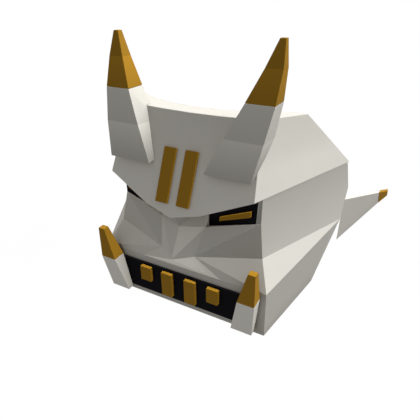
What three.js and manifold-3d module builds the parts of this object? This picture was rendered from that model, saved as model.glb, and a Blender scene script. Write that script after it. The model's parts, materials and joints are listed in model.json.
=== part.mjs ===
// Oni mask: a faceted white face shell with a heavy brow plate, two horns,
// two tusks, a toothed mouth band, dark eye panels and a fin at each cheek.
// Millimetres. Every point is first given on the upright face, with the tip
// of the nose at zero, +X toward the wearer's left, -Y out of the face and
// +Z up. The whole mask is then leant back onto its lower rim.
import * as THREE from 'three';
import { mergeVertices } from 'three/addons/utils/BufferGeometryUtils.js';
import Module from 'manifold-3d';

const wasm = await Module();
wasm.setup();

const GAP = 0.3;
const SHELL_WALL = 4.5;
const LEAN = Math.atan2(24.7, 65.1);
const CHIN = new THREE.Vector3(86.9, 13.7, -64.8);
const PANEL_FRONT = 29.7;
const PANEL_BACK = 32.7;
const FLANGE_FRONT = 31;
const FLANGE_WIDTH = 2.5;
const EYE_BAR_FRONT = 27.2;
const BAND_FRONT = 11.6;
const TOOTH_FRONT = 7.8;
const FOREHEAD_BAR_HEIGHT = 2.6;
const FIN_FLARE = 23.5 * Math.PI / 180;

// Height of the brow plate's underside, by distance from the middle.
const BROW_UNDERSIDE = [
  [0, 41.8],
  [26.4, 48.6],
  [69.4, 66.2],
  [119.4, 69.9],
  [160, 72.9],
];

const COLOURS = {
  white: new THREE.MeshStandardMaterial({ color: 0xe8e4da, roughness: 0.6, metalness: 0 }),
  gold: new THREE.MeshStandardMaterial({ color: 0xae8228, roughness: 0.55, metalness: 0 }),
  black: new THREE.MeshStandardMaterial({ color: 0x151417, roughness: 0.7, metalness: 0 }),
};

// Closed geometry from a list of points and polygon faces.
function solid(points, faces) {
  const index = [];
  for (const face of faces) {
    for (let i = 1; i + 1 < face.length; i += 1) {
      index.push(face[0], face[i], face[i + 1]);
    }
  }
  const geometry = new THREE.BufferGeometry();
  geometry.setAttribute('position', new THREE.Float32BufferAttribute(points.flat(), 3));
  geometry.setIndex(index);
  return outward(geometry);
}

// Turns the faces over if they enclose a negative volume.
function outward(geometry) {
  const at = geometry.attributes.position;
  const index = geometry.index.array;
  const a = new THREE.Vector3();
  const b = new THREE.Vector3();
  const c = new THREE.Vector3();
  let volume = 0;
  for (let i = 0; i < index.length; i += 3) {
    a.fromBufferAttribute(at, index[i]);
    b.fromBufferAttribute(at, index[i + 1]);
    c.fromBufferAttribute(at, index[i + 2]);
    volume += a.dot(b.cross(c));
  }
  if (volume < 0) {
    for (let i = 0; i < index.length; i += 3) {
      [index[i], index[i + 1]] = [index[i + 1], index[i]];
    }
  }
  return geometry;
}

// Solid through a row of rings that all have the same number of points.
function loft(rings) {
  const count = rings[0].length;
  const points = rings.flat();
  const faces = [rings[0].map((_, i) => count - 1 - i)];
  for (let k = 0; k + 1 < rings.length; k += 1) {
    for (let i = 0; i < count; i += 1) {
      const j = (i + 1) % count;
      faces.push([k * count + i, k * count + j, (k + 1) * count + j, (k + 1) * count + i]);
    }
  }
  faces.push(rings[0].map((_, i) => (rings.length - 1) * count + i));
  return solid(points, faces);
}

function toManifold(geometry) {
  const bare = geometry.clone();
  bare.deleteAttribute('normal');
  bare.deleteAttribute('uv');
  const merged = mergeVertices(bare, 1e-4);
  return new wasm.Manifold(new wasm.Mesh({
    numProp: 3,
    vertProperties: new Float32Array(merged.attributes.position.array),
    triVerts: new Uint32Array(merged.index.array),
  }));
}

function toGeometry(manifold) {
  const mesh = manifold.getMesh();
  const geometry = new THREE.BufferGeometry();
  geometry.setAttribute('position', new THREE.Float32BufferAttribute(mesh.vertProperties, 3));
  geometry.setIndex(Array.from(mesh.triVerts));
  return geometry;
}

function cut(geometry, ...cutters) {
  let body = toManifold(geometry);
  for (const cutter of cutters) {
    body = body.subtract(toManifold(cutter));
  }
  return toGeometry(body);
}

function join(first, second) {
  return toGeometry(toManifold(first).add(toManifold(second)));
}

function mirrored(geometry) {
  return outward(geometry.clone().scale(-1, 1, 1));
}

function mix(a, b, t) {
  return a.map((value, i) => value + (b[i] - value) * t);
}

// Everything above (side 1) or below (side -1) the brow underside, shifted.
function beyondUnderside(side, shift) {
  const right = BROW_UNDERSIDE.map(([x, z]) => [x, z + shift]);
  const left = right.slice(1).reverse().map(([x, z]) => [-x, z]);
  const edge = [...left, ...right];
  const far = side * 400;
  const outline = [...edge, [160, far], [-160, far]];
  return slab(outline, -60, 260);
}

// The face shell. Each facet lists its corners anticlockwise seen from outside.
const FACE_POINTS = {
  nose: [0, 0, 0],
  wing: [17.7, 11.5, 1.6],
  bridge: [22.6, 22.7, 27.7],
  bridgeTop: [22.6, 30.4, 49.5],
  brow: [0, 16.1, 26.1],
  browTop: [0, 3.4, 49.5],
  eyeInner: [22.6, 29.6, 25.4],
  lip: [42.6, 13.7, -17.2],
  eyeOuter: [66.9, 29.7, 39.4],
  eyeOuterTop: [67.7, 30.4, 71],
  temple: [69.8, 33.4, 38.5],
  templeTop: [68.7, 36.4, 71],
  cheek: [74.9, 28.8, 7.4],
  jaw: [85.8, 13.7, -17.2],
  chin: CHIN.toArray(),
  rearTop: [117.9, 125.4, 72.5],
  rearUpper: [122.4, 129.3, 43.4],
  rearLower: [121.8, 115.5, 14.9],
  rearFoot: [109.9, 78.8, -40.1],
};

const HALF_FACETS = [
  ['nose', 'wing', 'bridge'],
  ['nose', 'bridge', 'brow'],
  ['nose', 'lip', 'wing'],
  ['wing', 'lip', 'jaw'],
  ['wing', 'jaw', 'cheek'],
  ['wing', 'cheek', 'temple'],
  ['wing', 'temple', 'eyeOuter'],
  ['wing', 'eyeOuter', 'bridge'],
  ['bridge', 'eyeOuter', 'eyeInner'],
  ['bridge', 'eyeInner', 'bridgeTop'],
  ['brow', 'bridge', 'bridgeTop'],
  ['brow', 'bridgeTop', 'browTop'],
  ['eyeOuter', 'temple', 'templeTop', 'eyeOuterTop'],
  ['temple', 'rearUpper', 'rearTop', 'templeTop'],
  ['cheek', 'rearLower', 'rearUpper', 'temple'],
  ['jaw', 'rearLower', 'cheek'],
  ['chin', 'rearFoot', 'rearLower', 'jaw'],
  ['chin', 'jaw', 'lip'],
];

function faceSurface() {
  const names = Object.keys(FACE_POINTS);
  const points = names.map((name) => new THREE.Vector3(...FACE_POINTS[name]));
  const other = {};
  names.forEach((name, i) => {
    other[i] = i;
    if (points[i].x > 0) {
      other[i] = points.length;
      points.push(points[i].clone().multiply(new THREE.Vector3(-1, 1, 1)));
    }
  });
  const triangles = [];
  for (const facet of HALF_FACETS) {
    const ids = facet.map((name) => names.indexOf(name));
    for (let i = 1; i + 1 < ids.length; i += 1) {
      const triangle = [ids[0], ids[i], ids[i + 1]];
      triangles.push(triangle);
      triangles.push(triangle.map((id) => other[id]).reverse());
    }
  }
  const id = (name) => names.indexOf(name);
  const mirror = (name) => other[id(name)];
  triangles.push([id('nose'), mirror('lip'), id('lip')]);
  triangles.push([mirror('chin'), id('chin'), id('lip')]);
  triangles.push([mirror('chin'), id('lip'), mirror('lip')]);
  return { points, triangles, feet: ['chin', 'rearFoot'].flatMap((n) => [id(n), mirror(n)]) };
}

// Closed wall behind an open surface. Each inner point is the one that lies
// nearest to the wall thickness behind all the facets that meet at the corner.
function wallBehind({ points, triangles, feet }, wall) {
  const planes = points.map(() => []);
  const edges = new Map();
  for (const [a, b, c] of triangles) {
    const ab = points[b].clone().sub(points[a]);
    const normal = ab.cross(points[c].clone().sub(points[a])).normalize();
    [a, b, c].forEach((id) => planes[id].push([normal, -wall, 1]));
    for (const [from, to] of [[a, b], [b, c], [c, a]]) {
      if (!edges.delete(`${to} ${from}`)) {
        edges.set(`${from} ${to}`, [from, to]);
      }
    }
  }
  const rim = [...edges.values()];
  const floor = new THREE.Vector3(0, -Math.sin(LEAN), Math.cos(LEAN));
  feet.forEach((id) => planes[id].push([floor, 0, 100]));
  const inner = points.map((point, i) => point.clone().add(nearest(planes[i])));
  const count = points.length;
  const faces = [...triangles];
  triangles.forEach(([a, b, c]) => faces.push([a + count, c + count, b + count]));
  for (const [from, to] of rim) {
    const ring = [from, from + count, to + count, to];
    const start = points[from].z > points[to].z ? 0 : 3;
    faces.push(ring.map((_, i) => ring[(i + start) % 4]));
  }
  return solid([...points, ...inner].map((p) => p.toArray()), faces);
}

// Least squares step that meets a list of weighted planes.
function nearest(planes) {
  const m = [[1e-3, 0, 0], [0, 1e-3, 0], [0, 0, 1e-3]];
  const right = [0, 0, 0];
  for (const [normal, offset, weight] of planes) {
    const n = normal.toArray();
    for (let i = 0; i < 3; i += 1) {
      right[i] += weight * n[i] * offset;
      for (let j = 0; j < 3; j += 1) {
        m[i][j] += weight * n[i] * n[j];
      }
    }
  }
  const matrix = new THREE.Matrix3().set(...m.flat()).invert();
  return new THREE.Vector3(...right).applyMatrix3(matrix);
}

// Flat piece with its outline in x and z, between two depths.
function slab(outline, front, back) {
  return loft([back, front].map((y) => outline.map(([x, z]) => [x, y, z])));
}

function rectangle(x0, x1, z0, z1) {
  return [[x0, z0], [x1, z0], [x1, z1], [x0, z1]];
}

// Upright panel behind one eye, grown on all sides by some clearance. A flange
// along its inner and lower edges laps the shell from behind.
function eyePanel(grow) {
  const outline = (flange) => [
    [22.9 - grow - flange, 25.9 - grow - flange],
    [66.5 + grow, 39.7 - grow - flange],
    [67.2 + grow, 80],
    [22.9 - grow - flange, 80],
  ];
  return join(
    slab(outline(0), PANEL_FRONT - grow * 2, PANEL_BACK + grow),
    slab(outline(FLANGE_WIDTH), FLANGE_FRONT - grow, PANEL_BACK + grow),
  );
}

function faceShell() {
  const wall = wallBehind(faceSurface(), SHELL_WALL);
  const hole = eyePanel(GAP);
  return cut(wall, beyondUnderside(1, -GAP), hole, mirrored(hole));
}

// The brow plate, half of its sections from the middle to the rear:
// outer foot, outer top, inner top, inner foot.
const BROW_SECTIONS = [
  [[0, 2.2, 41.8], [0, 38.2, 122.6], [0, 57.3, 122.6], [0, 30, 41.8]],
  [[26.4, 5.2, 48.6], [27, 38.6, 122.9], [21, 59, 122.5], [26.4, 37, 48.6]],
  [[40.7, 8.5, 54.5], [41, 39.3, 123.2], [33.2, 61.6, 122.5], [40, 39, 54.2]],
  [[69.4, 15.2, 66.2], [63, 40.3, 123.9], [51.1, 68.6, 122.2], [64, 44, 66]],
  [[89.4, 60.4, 67.7], [71.8, 58.7, 122.5], [65.6, 77.4, 121.6], [84.2, 80, 67.3]],
  [[107.4, 101, 69], [79.8, 75.4, 121.2], [75.6, 85.2, 121], [102.5, 110, 68.6]],
  [[119.4, 128.1, 69.9], [85.1, 86.4, 120.3], [82.5, 87.8, 120.2], [114.8, 130, 69.6]],
];

// Space behind the plate's front and side walls, under its top shelf.
const BROW_POCKET = [
  [[0, 8, 46.8], [0, 40.3, 117.6], [0, 80, 117.6], [0, 80, 46.8]],
  [[26.4, 11, 53.6], [27, 41.2, 117.8], [27, 80, 117.8], [26.4, 80, 53.6]],
  [[65.6, 22.9, 71.2], [60.4, 43.4, 118.5], [50, 95, 118.5], [50, 95, 71.2]],
  [[84.6, 62.6, 72.7], [67, 61, 117.3], [60, 110, 117.3], [70, 110, 72.7]],
  [[99.6, 96.4, 73.8], [73.7, 74.8, 116.3], [70, 125, 116.3], [90, 125, 73.8]],
];

function bothSides(sections) {
  const other = sections.slice(1).reverse();
  return [...other.map((ring) => ring.map(([x, y, z]) => [-x, y, z])), ...sections];
}

function browBlock() {
  const deep = BROW_SECTIONS.map(([foot, top, inTop, inFoot]) => [
    mix(top, foot, 1.25),
    top,
    inTop,
    mix(inTop, inFoot, 1.25),
  ]);
  return cut(loft(bothSides(deep)), beyondUnderside(-1, 0));
}

// Horn rings: inner front, outer front, outer back, inner back.
const HORN = [
  [[25.8, 13.4, 82.4], [65.9, 13.4, 82.4], [65.9, 27, 82.4], [24.3, 27, 84.2]],
  [[39.4, 20.4, 111.2], [71.5, 20.4, 111.2], [72, 43.8, 111.2], [35.8, 42.5, 112.7]],
  [[52.2, 28.7, 137.6], [75.4, 28.7, 137.6], [75.4, 48.2, 137.6], [52.3, 48.2, 137.6]],
  [[62.6, 37.8, 161.6], [76.3, 37.8, 161.6], [76.3, 49, 161.6], [62.6, 49, 161.6]],
  [[69.8, 44.2, 180.6], [74.3, 44.2, 180.6], [74.3, 49.3, 180.6], [69.8, 49.3, 180.6]],
];

// Tusk sections: inner x, outer x, front y, back y, height.
const TUSK = [
  [57.6, 78, 4.6, BAND_FRONT - GAP, -60.4],
  [65.2, 81.2, -1.9, BAND_FRONT - GAP, -21.6],
  [73.8, 80.4, -1.6, 4.6, 11.4],
];

// Tapered block through sections of the kind given for the tusk.
function taper(sections) {
  return loft(sections.map(([xi, xo, yf, yb, z]) => [
    [xi, yf, z],
    [xo, yf, z],
    [xo, yb, z],
    [xi, yb, z],
  ]));
}

// Fin blade. Outer side points as distance behind the blade's front edge,
// height, and depth of the blade along Y there.
const FIN_START = [121.2, 123.3];
const FIN_BODY = [
  [0, -14.1, 5],
  [0, 32.2, 9.5],
  [69.1, 18.2, 6.2],
  [71.7, 4.6, 5],
];
const FIN_TIP = [
  [69.8, 18, 6.8],
  [88, 14.3, 6.2],
  [90.4, 8, 5],
  [72.4, 4.4, 5],
];

function blade(outline) {
  const side = (back) => outline.map(([s, z, depth]) => [
    FIN_START[0] + Math.sin(FIN_FLARE) * s,
    FIN_START[1] + Math.cos(FIN_FLARE) * s + depth * back,
    z,
  ]);
  return loft([side(0), side(1)]);
}

// Tongue of the fin, flat against the inner side of the cheek wall and joined
// to the blade behind the wall's rear edge.
function finTongue() {
  const [a, b, c] = ['cheek', 'rearLower', 'rearUpper'].map((name) => (
    new THREE.Vector3(...FACE_POINTS[name])
  ));
  const normal = b.clone().sub(a).cross(c.clone().sub(a)).normalize();
  const onPlane = (y, z, depth) => {
    const x = a.x - (normal.y * (y - a.y) + normal.z * (z - a.z) + depth) / normal.x;
    return [x, y, z];
  };
  const ring = (depth) => [
    onPlane(104, 18, depth),
    onPlane(122, 18, depth),
    onPlane(133, 24, depth),
    onPlane(133, 28, depth),
    onPlane(124, 29, depth),
    onPlane(104, 29, depth),
  ];
  return loft([ring(4), ring(SHELL_WALL + GAP + 4.5)]);
}

function finBody() {
  const wall = wallBehind(faceSurface(), SHELL_WALL + GAP / 2).translate(0, 0.35, 0);
  return cut(join(blade(FIN_BODY), finTongue()), wall);
}

// Block under the resting plane, to finish the fin's foot flat.
function belowFloor() {
  const section = rectangle(-200, 200, -40, 0);
  return loft([-20, 240].map((along) => section.map(([x, up]) => [
    x,
    CHIN.y + along * Math.cos(LEAN) - up * Math.sin(LEAN),
    CHIN.z + along * Math.sin(LEAN) + up * Math.cos(LEAN),
  ])));
}

const face = new THREE.Group();

function add(name, geometry, material) {
  const mesh = new THREE.Mesh(geometry, material);
  mesh.name = name;
  face.add(mesh);
  return mesh;
}

function addPair(name, geometry, material) {
  add(`${name}_left`, geometry, material);
  add(`${name}_right`, mirrored(geometry), material);
}

const { white, gold, black } = COLOURS;
const brow = browBlock();

add('face_shell', faceShell(), white);
add('brow_plate', cut(brow, loft(bothSides(BROW_POCKET))), white);

const seat = brow.clone().translate(0, -0.2, GAP);
const tipFoot = HORN[2].map(([x, y, z]) => [x, y, z + GAP]);
addPair('horn', cut(loft(HORN.slice(0, 3)), seat), white);
addPair('horn_tip', loft([tipFoot, HORN[3], HORN[4]]), gold);

const tuskSplit = [...TUSK[1]];
tuskSplit[4] += GAP;
addPair('tusk', taper([TUSK[0], TUSK[1]]), white);
addPair('tusk_tip', taper([tuskSplit, TUSK[2]]), gold);

addPair('eye_panel', cut(eyePanel(0), beyondUnderside(1, -GAP)), black);
const eyeBar = [[33.9, 34.8], [62.5, 45.6], [62.5, 51], [34, 38.6]];
addPair('eye_bar', slab(eyeBar, EYE_BAR_FRONT, PANEL_FRONT - GAP), gold);

add('mouth_band', slab(rectangle(-76, 76, -57.9, -24.5), BAND_FRONT, CHIN.y - GAP), black);
const tooth = (...sides) => slab(rectangle(...sides), TOOTH_FRONT, BAND_FRONT - GAP);
addPair('tooth_inner', tooth(6.9, 18.4, -53.6, -26.8), gold);
addPair('tooth_outer', tooth(30.8, 42.5, -43.1, -26.9), gold);

// Two upright bars lie on the slope of the forehead.
const slope = Math.atan2(38.1 - 2.2, 122.4 - 41.8);
const bars = slab(rectangle(4.4, 16, 11.4, 58.2), -FOREHEAD_BAR_HEIGHT, -GAP);
for (const [side, geometry] of [['left', bars], ['right', mirrored(bars)]]) {
  const bar = add(`forehead_bar_${side}`, geometry, gold);
  bar.position.set(0, 2.2, 41.8);
  bar.rotation.x = -slope;
}

addPair('fin', finBody(), white);
addPair('fin_tip', cut(blade(FIN_TIP), belowFloor()), gold);

// Lean the face back until the lower rim and the fin tips lie on the floor.
face.rotation.x = -LEAN;
const foot = CHIN.clone().applyAxisAngle(new THREE.Vector3(1, 0, 0), -LEAN);
face.position.set(0, -foot.y, -foot.z);
face.updateMatrixWorld(true);

const mask = new THREE.Group();
const box = new THREE.Box3().setFromObject(face, true);
face.position.y -= (box.min.y + box.max.y) / 2;
mask.add(face);

export default mask;
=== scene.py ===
# Oni mask: materials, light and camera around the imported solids.
# Metres, in the frame of the solids: +X to the wearer's left, -Y out of the
# face, +Z up from the plane that the mask rests on.
import json
from math import cos, radians, sin

import bpy
from mathutils import Matrix, Vector

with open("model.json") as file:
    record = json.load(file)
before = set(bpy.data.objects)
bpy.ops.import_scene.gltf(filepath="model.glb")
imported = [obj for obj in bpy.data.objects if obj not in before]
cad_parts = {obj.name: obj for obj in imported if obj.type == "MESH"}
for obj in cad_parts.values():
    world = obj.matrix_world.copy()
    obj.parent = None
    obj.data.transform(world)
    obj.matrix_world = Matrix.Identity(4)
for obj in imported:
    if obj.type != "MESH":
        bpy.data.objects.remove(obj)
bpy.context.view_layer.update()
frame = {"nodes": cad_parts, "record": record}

# The view of the photograph, in metres and millimetres of lens.
CAMERA_PLACE = Vector((0.1601, -0.2366, 0.3412))
CAMERA_RIGHT = Vector((0.8871, 0.4315, -0.1637))
CAMERA_UP = Vector((-0.2245, 0.7133, 0.6639))
CAMERA_LENS = 33.251
SENSOR = 36.0
CLIP_START = 0.01
CLIP_END = 60.0

# Suns: name, azimuth from +X and elevation of where the light comes from in
# degrees, strength, apparent size in radians, and whether it casts shadows.
SUNS = [
    ("key", 68.0, 34.0, 2.58, 0.4, False),
    ("top", 85.0, 57.0, 0.90, 0.4, False),
    ("side", 30.0, 15.0, 1.03, 0.7, True),
    ("bounce", -149.0, -45.0, 1.88, 0.4, False),
]
FILL = 0.22

# Up along the face, which leans back on its lower rim. Heights along it start
# FACE_START above the origin, at the level of the tip of the nose.
FACE_UP = (0.0, 0.35472, 0.93497)
FACE_START = 0.02847

# Edges: the width of the rounding and the least angle that gets it, in radians.
EDGE_ROUND = 0.0002
EDGE_ANGLE = 0.26
EDGE_SEGMENTS = 2

# Creases: a corner is an edge over an angle. On a horn, a ring is an edge that
# rises by less than RING_RISE of its length. Elsewhere a short edge over a
# smaller angle is a corner too.
SAME_POINT = 0.00001
HORN_CORNER = 0.30
RING_RISE = 0.12
CORNER = 0.20
SHORT_CORNER = 0.11
SHORT_EDGE = 0.05

# Paint: the scale, detail and roughness of the noise, and its middle range.
CLOUDS = (22.0, 4.0, 0.55)
CLOUD_STOPS = (0.30, 0.55, 0.75)
LIGHT_CLOUD = 0.6
SHEEN = (160.0, 3.0, 0.5)
GRAIN = (1500.0, 3.0, 0.6)
GRAIN_DEPTH = 0.0001
NOISE_LOW = 0.3
NOISE_HIGH = 0.7

PLAIN = (1.0, 1.0, 1.0)
WHITE = (0.807, 0.780, 0.711)
GOLD = (0.430, 0.224, 0.021)
BLACK = (0.0110, 0.0100, 0.0130)

# Painted seam shade: ambient occlusion darkens a surface's colour where other
# surfaces are close. How far other surfaces darken one, and its tone from closed in to open.
SEAM_REACH = 0.030
SEAM_SAMPLES = 8
SEAM_SHADE_TONES = (
    (0.00, (0.050, 0.045, 0.040, 1.0)),
    (0.30, (0.400, 0.380, 0.350, 1.0)),
    (0.50, (0.830, 0.815, 0.795, 1.0)),
    (0.80, (1.000, 1.000, 1.000, 1.0)),
)
BROW_SEAM_SHADE_TONES = SEAM_SHADE_TONES[:2] + (
    (0.45, (0.900, 0.890, 0.875, 1.0)),
    (0.70, (1.000, 1.000, 1.000, 1.0)),
)
GOLD_SEAM_SHADE_TONES = (
    (0.00, (0.080, 0.060, 0.040, 1.0)),
    (0.15, (1.000, 1.000, 1.000, 1.0)),
)

# Painted shade by height along the face. Each length of a horn between two rings
# is painted lighter upwards, and the brow is painted lighter towards its lower
# edge. The inner and outer sides of a horn, which face sideways by more than
# SIDEWAYS, are painted darker near its foot.
TONE_TOP = 0.2
SIDEWAYS = 0.7
HORN_PAINTED_SHADE = (
    (0.0824, 0.84), (0.1111, 1.19), (0.1113, 0.93), (0.1376, 1.035),
    (0.1378, 0.92), (0.1615, 1.11), (0.1617, 0.92), (0.1806, 0.98),
)
HORN_SIDE_PAINTED_SHADE = (
    (0.0824, 0.50), (0.1111, 1.04), (0.1113, 0.86), (0.1376, 0.97),
    (0.1378, 0.90), (0.1615, 1.11), (0.1617, 0.92), (0.1806, 0.98),
)
BROW_PAINTED_SHADE = ((0.085, 1.13), (0.100, 1.04), (0.125, 0.98), (0.150, 0.97))

# Painted shade on some facets of the face: the two narrow ones beside each eye,
# the jaw's side and those that face forward are darkened in the paint. For each:
# where it faces on the wearer's left, without the signs, how near to that a facet
# has to face, and its painted tone.
PAINTED_SHADE_FACETS = (
    ((0.794, 0.534, 0.291), 0.995, 0.44),
    ((0.986, 0.161, 0.038), 0.998, 0.31),
    ((0.940, 0.310, 0.141), 0.998, 0.84),
    ((0.000, 1.000, 0.000), 0.530, 0.88),
)

# Floor: its size, the scale and detail of its faint clouding, the clouding's
# two greys, its roughness and how strongly it glows.
FLOOR_SIZE = 24.0
FLOOR_CLOUDS = (3.0, 2.0)
FLOOR_GREYS = (0.14, 0.16)
FLOOR_ROUGHNESS = 0.9
FLOOR_GLOW = 0.86


def shade(colour, amount):
    return tuple(min(1.0, c * amount) for c in colour) + (1.0,)


class Nodes:
    """A material's node tree, with short calls to add and join nodes."""

    def __init__(self, name):
        self.material = bpy.data.materials.new(name)
        self.material.use_nodes = True
        self.tree = self.material.node_tree
        self.shader = self.tree.nodes["Principled BSDF"]
        self.place = self.add("ShaderNodeTexCoord").outputs["Object"]

    def add(self, kind, **settings):
        node = self.tree.nodes.new(kind)
        for key, value in settings.items():
            setattr(node, key, value)
        return node

    def join(self, out, into):
        self.tree.links.new(out, into)

    def noise(self, scale, detail, roughness=0.5):
        node = self.add("ShaderNodeTexNoise")
        node.inputs["Scale"].default_value = scale
        node.inputs["Detail"].default_value = detail
        node.inputs["Roughness"].default_value = roughness
        self.join(self.place, node.inputs["Vector"])
        return node.outputs["Fac"]

    def ramp(self, source, *stops):
        node = self.add("ShaderNodeValToRGB")
        elements = node.color_ramp.elements
        for element, (position, colour) in zip(elements, (stops[0], stops[-1])):
            element.position = position
            element.color = colour
        for position, colour in stops[1:-1]:
            elements.new(position).color = colour
        self.join(source, node.inputs["Fac"])
        return node.outputs["Color"]

    def times(self, colour, factor):
        mix = self.add("ShaderNodeMix", data_type="RGBA", blend_type="MULTIPLY")
        mix.inputs[0].default_value = 1.0
        self.join(colour, mix.inputs[6])
        self.join(factor, mix.inputs[7])
        return mix.outputs[2]

    def facing(self, direction, limit):
        """1 on facets that face along a direction, whatever its signs, else 0."""
        sides = self.add("ShaderNodeVectorMath", operation="ABSOLUTE")
        self.join(self.add("ShaderNodeNewGeometry").outputs["True Normal"], sides.inputs[0])
        along = self.add("ShaderNodeVectorMath", operation="DOT_PRODUCT")
        self.join(sides.outputs["Vector"], along.inputs[0])
        along.inputs[1].default_value = direction
        test = self.add("ShaderNodeMath", operation="GREATER_THAN")
        self.join(along.outputs["Value"], test.inputs[0])
        test.inputs[1].default_value = limit
        return test.outputs[0]

    def choose(self, factor, first, second):
        mix = self.add("ShaderNodeMix", data_type="RGBA")
        self.join(factor, mix.inputs[0])
        self.join(first, mix.inputs[6])
        self.join(second, mix.inputs[7])
        return mix.outputs[2]

    def by_height(self, tones):
        """A grey painted shade by height along the face."""
        height = self.add("ShaderNodeVectorMath", operation="DOT_PRODUCT")
        self.join(self.place, height.inputs[0])
        height.inputs[1].default_value = FACE_UP
        part = self.add("ShaderNodeMapRange")
        part.inputs["From Min"].default_value = FACE_START
        part.inputs["From Max"].default_value = FACE_START + TONE_TOP
        self.join(height.outputs["Value"], part.inputs["Value"])
        stops = [(place / TONE_TOP, (tone, tone, tone, 1.0)) for place, tone in tones]
        return self.ramp(part.outputs["Result"], *stops)

    def painted_seam_shade(self, colour, tones):
        """The colour with painted shade, darkened where other surfaces are close by."""
        near = self.add("ShaderNodeAmbientOcclusion", samples=SEAM_SAMPLES)
        near.inputs["Distance"].default_value = SEAM_REACH
        seam_shade = self.ramp(near.outputs["AO"], *tones)
        return self.times(colour, seam_shade)

    def span(self, source, low, high):
        node = self.add("ShaderNodeMapRange")
        node.inputs["From Min"].default_value = NOISE_LOW
        node.inputs["From Max"].default_value = NOISE_HIGH
        node.inputs["To Min"].default_value = low
        node.inputs["To Max"].default_value = high
        self.join(source, node.inputs["Value"])
        return node.outputs["Result"]


# Painted shade on a horn: lighter upwards along each length, and darker near the foot on its
# inner and outer sides.
def horn_painted_shade(n):
    front = n.by_height(HORN_PAINTED_SHADE)
    side = n.by_height(HORN_SIDE_PAINTED_SHADE)
    return n.choose(n.facing((1.0, 0.0, 0.0), SIDEWAYS), front, side)


# Painted shade on the brow: lighter towards its lower edge.
def brow_painted_shade(n):
    return n.by_height(BROW_PAINTED_SHADE)


# Painted shade on the face: the chosen facets are darkened in the paint.
def face_painted_shade(n):
    tones = [
        n.ramp(n.facing(direction, limit), (0.0, shade(PLAIN, 1.0)), (1.0, shade(PLAIN, tone)))
        for direction, limit, tone in PAINTED_SHADE_FACETS
    ]
    result = tones[0]
    for tone in tones[1:]:
        result = n.times(result, tone)
    return result


def coat(name, colour, cloudy, rough, specular, grain, seam_shade_tones, tones=None):
    """Painted surface with faint clouding, uneven sheen and a fine grain.

    Seams and inner corners are darker and warmer: painted shade from the nearness of other
    surfaces. Tones, if given, paint further shade.
    """
    n = Nodes(name)
    amounts = (1.0 - cloudy, 1.0, 1.0 + cloudy * LIGHT_CLOUD)
    stops = [(place, shade(colour, amount)) for place, amount in zip(CLOUD_STOPS, amounts)]
    tint = n.ramp(n.noise(*CLOUDS), *stops)
    # Painted shade: the tones, if given, and the seam shade darken the tint.
    if tones:
        tint = n.times(tint, tones(n))
    n.join(n.painted_seam_shade(tint, seam_shade_tones), n.shader.inputs["Base Color"])
    n.join(n.span(n.noise(*SHEEN), *rough), n.shader.inputs["Roughness"])
    n.shader.inputs["Specular IOR Level"].default_value = specular
    bump = n.add("ShaderNodeBump")
    bump.inputs["Strength"].default_value = grain
    bump.inputs["Distance"].default_value = GRAIN_DEPTH
    n.join(n.noise(*GRAIN), bump.inputs["Height"])
    n.join(bump.outputs["Normal"], n.shader.inputs["Normal"])
    return n.material


class Creases:
    """Geometry nodes that join split corners and crease chosen edges."""

    def __init__(self, name):
        self.group = bpy.data.node_groups.new(name, "GeometryNodeTree")
        for side in ("INPUT", "OUTPUT"):
            self.group.interface.new_socket(
                "Geometry", in_out=side, socket_type="NodeSocketGeometry"
            )
        self.mesh = self.add("NodeGroupInput").outputs["Geometry"]

    def add(self, kind, **settings):
        node = self.group.nodes.new(kind)
        for key, value in settings.items():
            setattr(node, key, value)
        return node

    def join(self, out, into):
        self.group.links.new(out, into)

    def step(self, kind, values=(), **settings):
        """Adds a node that works on the mesh, after the last one."""
        node = self.add(kind, **settings)
        self.join(self.mesh, node.inputs[0])
        for name, value in values:
            node.inputs[name].default_value = value
        self.mesh = node.outputs[0]
        return node

    def maths(self, operation, *sources):
        node = self.add("ShaderNodeMath", operation=operation)
        for socket, source in zip(node.inputs, sources):
            if isinstance(source, float):
                socket.default_value = source
            else:
                self.join(source, socket)
        return node.outputs[0]

    def vector(self, operation, output, *sources):
        node = self.add("ShaderNodeVectorMath", operation=operation)
        for socket, source in zip(node.inputs, sources):
            if isinstance(source, tuple):
                socket.default_value = source
            else:
                self.join(source, socket)
        return node.outputs[output]

    def finish(self):
        self.join(self.mesh, self.add("NodeGroupOutput").inputs[0])
        return self.group


def creases(name, rings):
    """Sharp edges at real corners. The horns' level rings are sharp too."""
    c = Creases(name)
    c.step("GeometryNodeRemoveAttribute", [("Name", "custom_normal")])
    c.step("GeometryNodeMergeByDistance", [("Distance", SAME_POINT)])
    c.step("GeometryNodeSetShadeSmooth", [("Shade Smooth", True)], domain="FACE")
    angle = c.add("GeometryNodeInputMeshEdgeAngle").outputs["Unsigned Angle"]
    ends = c.add("GeometryNodeInputMeshEdgeVertices")
    along = c.vector("SUBTRACT", "Vector", ends.outputs["Position 2"], ends.outputs["Position 1"])
    length = c.vector("LENGTH", "Value", along)
    if rings:
        rise = c.maths("ABSOLUTE", c.vector("DOT_PRODUCT", "Value", along, FACE_UP))
        steep = c.maths("DIVIDE", rise, length)
        special = c.maths("LESS_THAN", steep, RING_RISE)
        corner = c.maths("GREATER_THAN", angle, HORN_CORNER)
    else:
        shallow = c.maths("GREATER_THAN", angle, SHORT_CORNER)
        special = c.maths("MULTIPLY", shallow, c.maths("LESS_THAN", length, SHORT_EDGE))
        corner = c.maths("GREATER_THAN", angle, CORNER)
    sharp = c.step("GeometryNodeSetShadeSmooth", [("Shade Smooth", False)], domain="EDGE")
    c.join(c.maths("MAXIMUM", special, corner), sharp.inputs["Selection"])
    return c.finish()


HORN_CREASES = creases("rings", True)
PLAIN_CREASES = creases("corners", False)


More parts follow.
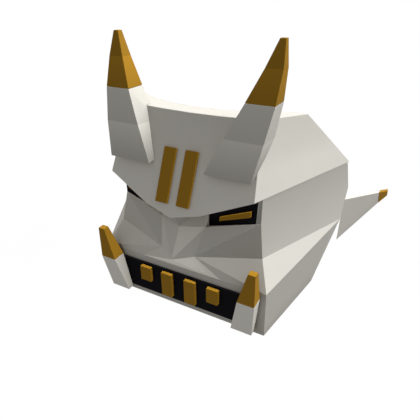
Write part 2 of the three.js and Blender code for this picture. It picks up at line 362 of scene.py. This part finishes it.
def crisp_edges(piece):
    """Creases the corners and takes the sharpest edges off slightly."""
    crease = piece.modifiers.new("creases", "NODES")
    crease.node_group = HORN_CREASES if piece.name.startswith("horn") else PLAIN_CREASES
    bevel = piece.modifiers.new("edges", "BEVEL")
    bevel.limit_method = "ANGLE"
    bevel.angle_limit = EDGE_ANGLE
    bevel.width = EDGE_ROUND
    bevel.segments = EDGE_SEGMENTS
    bevel.use_clamp_overlap = True
    normals = piece.modifiers.new("normals", "WEIGHTED_NORMAL")
    normals.mode = "FACE_AREA"
    normals.weight = 50
    normals.keep_sharp = True


# Colour, clouding, least and most roughness, specular level, grain and painted seam shade.
WHITE_PAINT = (WHITE, 0.018, (0.50, 0.62), 0.10, 0.10, SEAM_SHADE_TONES)
GOLD_PAINT = (GOLD, 0.040, (0.42, 0.56), 0.05, 0.12, GOLD_SEAM_SHADE_TONES)
BROW_PAINT = WHITE_PAINT[:-1] + (BROW_SEAM_SHADE_TONES,)
BLACK_SHEET = (BLACK, 0.080, (0.55, 0.70), 0.05, 0.15, SEAM_SHADE_TONES)

materials = {
    "white_shell": coat("white_paint", *WHITE_PAINT),
    "gold_trim": coat("gold_paint", *GOLD_PAINT),
    "black_panel": coat("black_sheet", *BLACK_SHEET),
}
# Horns, brow and face get painted shade on top of the seam shade.
horn_materials = {
    "white_shell": coat("white_horn_painted_shade", *WHITE_PAINT, horn_painted_shade),
    "gold_trim": coat("gold_horn_painted_shade", *GOLD_PAINT, horn_painted_shade),
}
brow_materials = {"white_shell": coat("white_brow_painted_shade", *BROW_PAINT, brow_painted_shade)}
face_materials = {"white_shell": coat("white_face_painted_shade", *WHITE_PAINT, face_painted_shade)}

for row in frame["record"]["subparts"]:
    piece = frame["nodes"][row["node"]]
    slot = row["material_slot"]
    coats = materials
    if piece.name.startswith("horn"):
        coats = horn_materials
    elif piece.name == "brow_plate":
        coats = brow_materials
    elif piece.name == "face_shell":
        coats = face_materials
    piece.data.materials.clear()
    piece.data.materials.append(coats[slot])
    crisp_edges(piece)

# Camera.
back = CAMERA_RIGHT.cross(CAMERA_UP).normalized()
turn = Matrix((CAMERA_RIGHT, CAMERA_UP, back)).transposed()
camera_data = bpy.data.cameras.new("photo_view")
camera_data.sensor_width = SENSOR
camera_data.lens = CAMERA_LENS
camera_data.clip_start = CLIP_START
camera_data.clip_end = CLIP_END
camera = bpy.data.objects.new("photo_view", camera_data)
camera.matrix_world = Matrix.Translation(CAMERA_PLACE) @ turn.to_4x4()
bpy.context.scene.collection.objects.link(camera)
bpy.context.scene.camera = camera

# Light.
for name, azimuth, elevation, strength, angle, shadow in SUNS:
    level = cos(radians(elevation))
    source = Vector((
        level * cos(radians(azimuth)),
        level * sin(radians(azimuth)),
        sin(radians(elevation)),
    ))
    data = bpy.data.lights.new(name, "SUN")
    data.energy = strength
    data.angle = angle
    data.use_shadow = shadow
    if not shadow:
        data.cycles.max_bounces = 0
    sun = bpy.data.objects.new(name, data)
    sun.visible_glossy = shadow
    sun.rotation_euler = source.to_track_quat("Z", "Y").to_euler()
    bpy.context.scene.collection.objects.link(sun)

world = bpy.data.worlds.new("studio")
world.use_nodes = True
fill = world.node_tree.nodes["Background"]
fill.inputs["Color"].default_value = (1.0, 1.0, 1.0, 1.0)
fill.inputs["Strength"].default_value = FILL
bpy.context.scene.world = world
bpy.context.scene.view_settings.view_transform = "Standard"

# Pale floor.
bpy.ops.mesh.primitive_plane_add(size=FLOOR_SIZE)
floor = bpy.context.object
floor.name = "floor"
floor.visible_diffuse = False
floor.visible_glossy = False
pale = Nodes("pale_floor")
greys = [shade(PLAIN, grey) for grey in FLOOR_GREYS]
clouding = pale.ramp(pale.noise(*FLOOR_CLOUDS), (NOISE_LOW, greys[0]), (NOISE_HIGH, greys[1]))
pale.join(clouding, pale.shader.inputs["Base Color"])
pale.shader.inputs["Roughness"].default_value = FLOOR_ROUGHNESS
pale.shader.inputs["Specular IOR Level"].default_value = 0.0
pale.shader.inputs["Emission Color"].default_value = (1.0, 1.0, 1.0, 1.0)
pale.shader.inputs["Emission Strength"].default_value = FLOOR_GLOW
floor.data.materials.append(pale.material)
